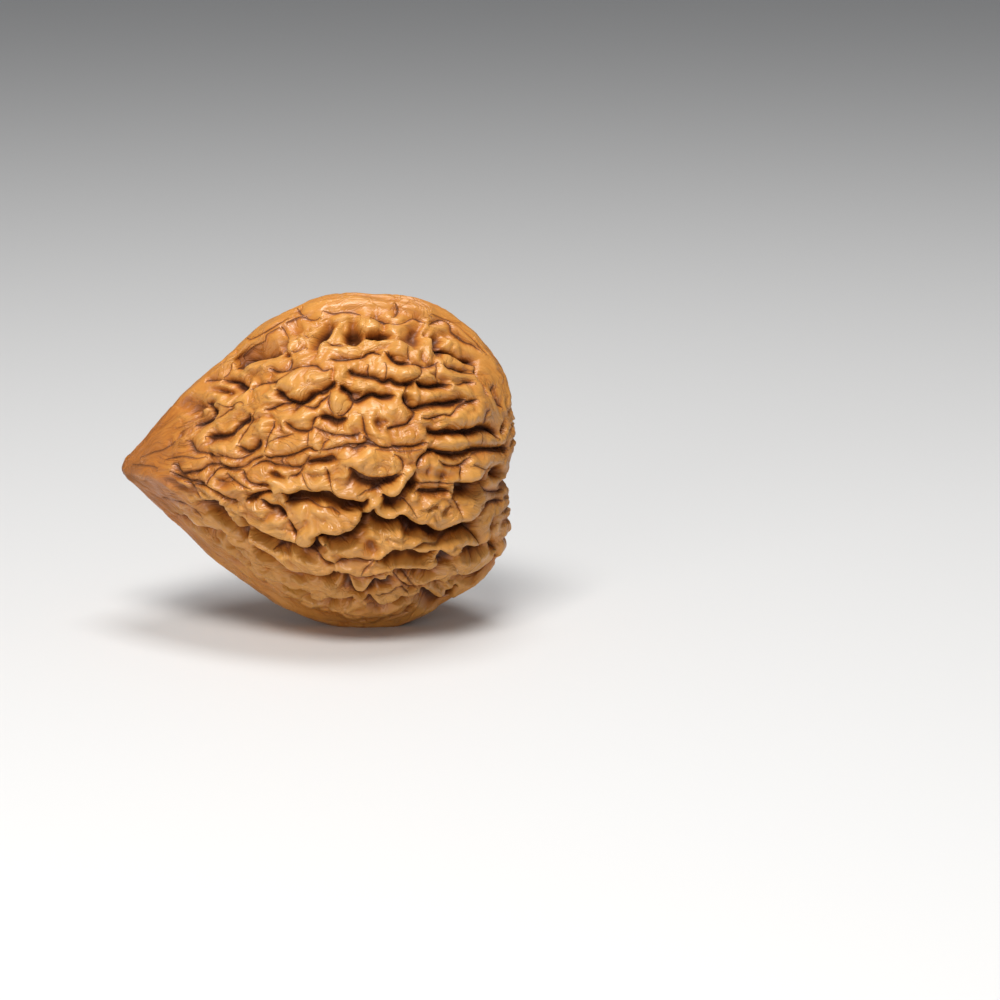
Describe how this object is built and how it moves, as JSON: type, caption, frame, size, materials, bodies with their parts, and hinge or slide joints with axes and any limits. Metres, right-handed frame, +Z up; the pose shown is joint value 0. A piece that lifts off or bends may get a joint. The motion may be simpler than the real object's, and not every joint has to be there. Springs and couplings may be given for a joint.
{
  "type": "walnut in shell",
  "caption": "Whole walnut in its shell, with a pointed tip, a raised suture rim and deeply folded half shells, standing on a small flat spot of the rim.",
  "frame": {"origin": "middle of the nut's box in plan, on the surface it stands on", "axes": "+Z up along the suture rim's height, the tip points along -X, the stem end along +X, and the half shells bulge along -Y (front) and +Y"},
  "size_m": [0.046, 0.0366, 0.0398],
  "materials": {
    "shell": "satin, handled and slightly oily shell, darker in the folds"
  },
  "bodies": {
    "root": {"walnut": "shell"}
  },
  "joints": []
}
